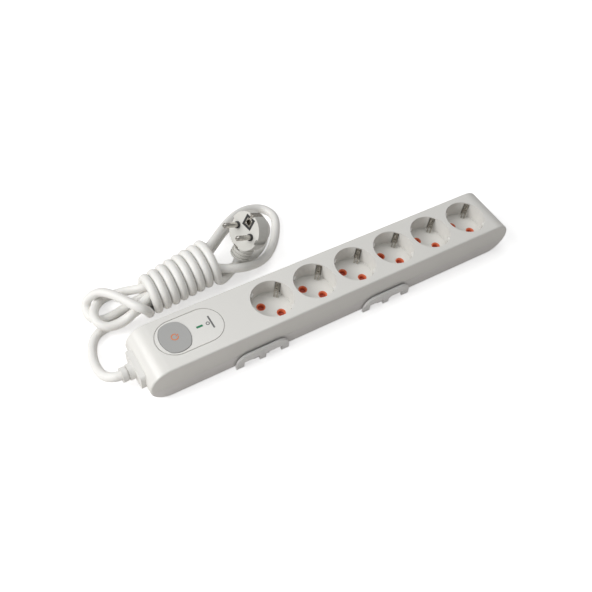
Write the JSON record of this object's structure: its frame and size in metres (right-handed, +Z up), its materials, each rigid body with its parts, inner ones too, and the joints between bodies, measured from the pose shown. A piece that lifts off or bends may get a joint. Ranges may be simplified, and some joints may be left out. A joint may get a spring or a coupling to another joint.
{
  "type": "switched socket strip",
  "caption": "Long rounded socket strip with a push-button control end, shuttered sockets in a row, clip-on wall cradles and a hanked supply cord with an angled plug.",
  "frame": {"origin": "centre of the strip's underside, on the plane it rests on", "axes": "+X along the strip away from the cord end, +Y towards the hanked cord, +Z up out of the sockets"},
  "size_m": [0.4204, 0.162, 0.0729],
  "materials": {
    "cover_white": "smooth glossy off-white moulding",
    "base_white": "smooth off-white moulding, a little duller",
    "panel_white": "smooth off-white inlay with faint grey marks",
    "button_grey": "satin mid-grey",
    "symbol_orange": "printed orange",
    "spring_steel": "bright drawn wire",
    "switch_black": "black moulding",
    "plunger_ivory": "natural nylon",
    "contact_brass": "stamped brass",
    "board_green": "green solder mask",
    "screw_steel": "zinc-plated steel",
    "varistor_blue": "dipped coating",
    "fuse_tan": "ceramic sleeve",
    "capacitor_yellow": "moulded box",
    "lamp_green": "tinted lamp",
    "lens_green": "translucent green window",
    "shutter_orange": "orange-red moulding",
    "shutter_red": "orange-red moulding",
    "earth_nickel": "nickel-plated strip",
    "wire_brown": "insulated wire",
    "wire_blue": "insulated wire",
    "wire_green_yellow": "insulated wire",
    "relief_white": "satin off-white",
    "clamp_white": "satin off-white",
    "cradle_grey": "satin light grey-white",
    "cord_white": "fine-grained white jacket",
    "plug_white": "smooth off-white moulding",
    "pin_nickel": "nickel-plated pin",
    "collar_dark": "dark insulating collar"
  },
  "bodies": {
    "housing": {"top_cover": "cover_white", "base_cover": "base_white", "control_panel": "panel_white", "button_spring": "spring_steel", "switch_body": "switch_black", "switch_terminals": "contact_brass", "circuit_board": "board_green", "board_screws": "screw_steel", "varistors": "varistor_blue", "thermal_fuse": "fuse_tan", "filter_capacitor": "capacitor_yellow", "led_lamp": "lamp_green", "led_lens": "lens_green", "shutter_guide_1": "shutter_orange", "shutter_guide_2": "shutter_orange", "shutter_guide_3": "shutter_orange", "shutter_guide_4": "shutter_orange", "shutter_guide_5": "shutter_orange", "shutter_guide_6": "shutter_orange", "live_busbar": "contact_brass", "neutral_busbar": "contact_brass", "earth_contacts": "earth_nickel", "live_wire_in": "wire_brown", "neutral_wire_in": "wire_blue", "earth_wire": "wire_green_yellow", "live_wire_out": "wire_brown", "neutral_wire_out": "wire_blue", "strain_relief": "relief_white", "cord_clamp": "clamp_white", "clamp_screws": "screw_steel", "housing_screws": "screw_steel", "wall_cradle_left": "cradle_grey", "wall_cradle_right": "cradle_grey", "power_cord": "cord_white", "plug_body": "plug_white", "plug_pins": "pin_nickel", "plug_pin_collars": "collar_dark", "plug_earth_frame": "collar_dark", "plug_earth_contacts": "earth_nickel"},
    "button": {"power_button": "button_grey", "button_symbol": "symbol_orange", "switch_plunger": "plunger_ivory"},
    "shutter_body_1": {"shutter_1": "shutter_red"},
    "shutter_body_2": {"shutter_2": "shutter_red"},
    "shutter_body_3": {"shutter_3": "shutter_red"},
    "shutter_body_4": {"shutter_4": "shutter_red"},
    "shutter_body_5": {"shutter_5": "shutter_red"},
    "shutter_body_6": {"shutter_6": "shutter_red"}
  },
  "joints": [
    {"name": "button_press", "type": "slide", "parent": "housing", "child": "button", "axis": [0, 0, -1], "range_m": [0, 0.0025], "stiffness_N_per_m": 400, "deforming": ["button_spring"]},
    {"name": "shutter_1_slide", "type": "slide", "parent": "housing", "child": "shutter_body_1", "axis": [0.7071, -0.7071, 0], "range_m": [0, 0.0065], "stiffness_N_per_m": 80},
    {"name": "shutter_2_slide", "type": "slide", "parent": "housing", "child": "shutter_body_2", "axis": [0.7071, -0.7071, 0], "range_m": [0, 0.0065], "stiffness_N_per_m": 80},
    {"name": "shutter_3_slide", "type": "slide", "parent": "housing", "child": "shutter_body_3", "axis": [0.7071, -0.7071, 0], "range_m": [0, 0.0065], "stiffness_N_per_m": 80},
    {"name": "shutter_4_slide", "type": "slide", "parent": "housing", "child": "shutter_body_4", "axis": [0.7071, -0.7071, 0], "range_m": [0, 0.0065], "stiffness_N_per_m": 80},
    {"name": "shutter_5_slide", "type": "slide", "parent": "housing", "child": "shutter_body_5", "axis": [0.7071, -0.7071, 0], "range_m": [0, 0.0065], "stiffness_N_per_m": 80},
    {"name": "shutter_6_slide", "type": "slide", "parent": "housing", "child": "shutter_body_6", "axis": [0.7071, -0.7071, 0], "range_m": [0, 0.0065], "stiffness_N_per_m": 80}
  ]
}
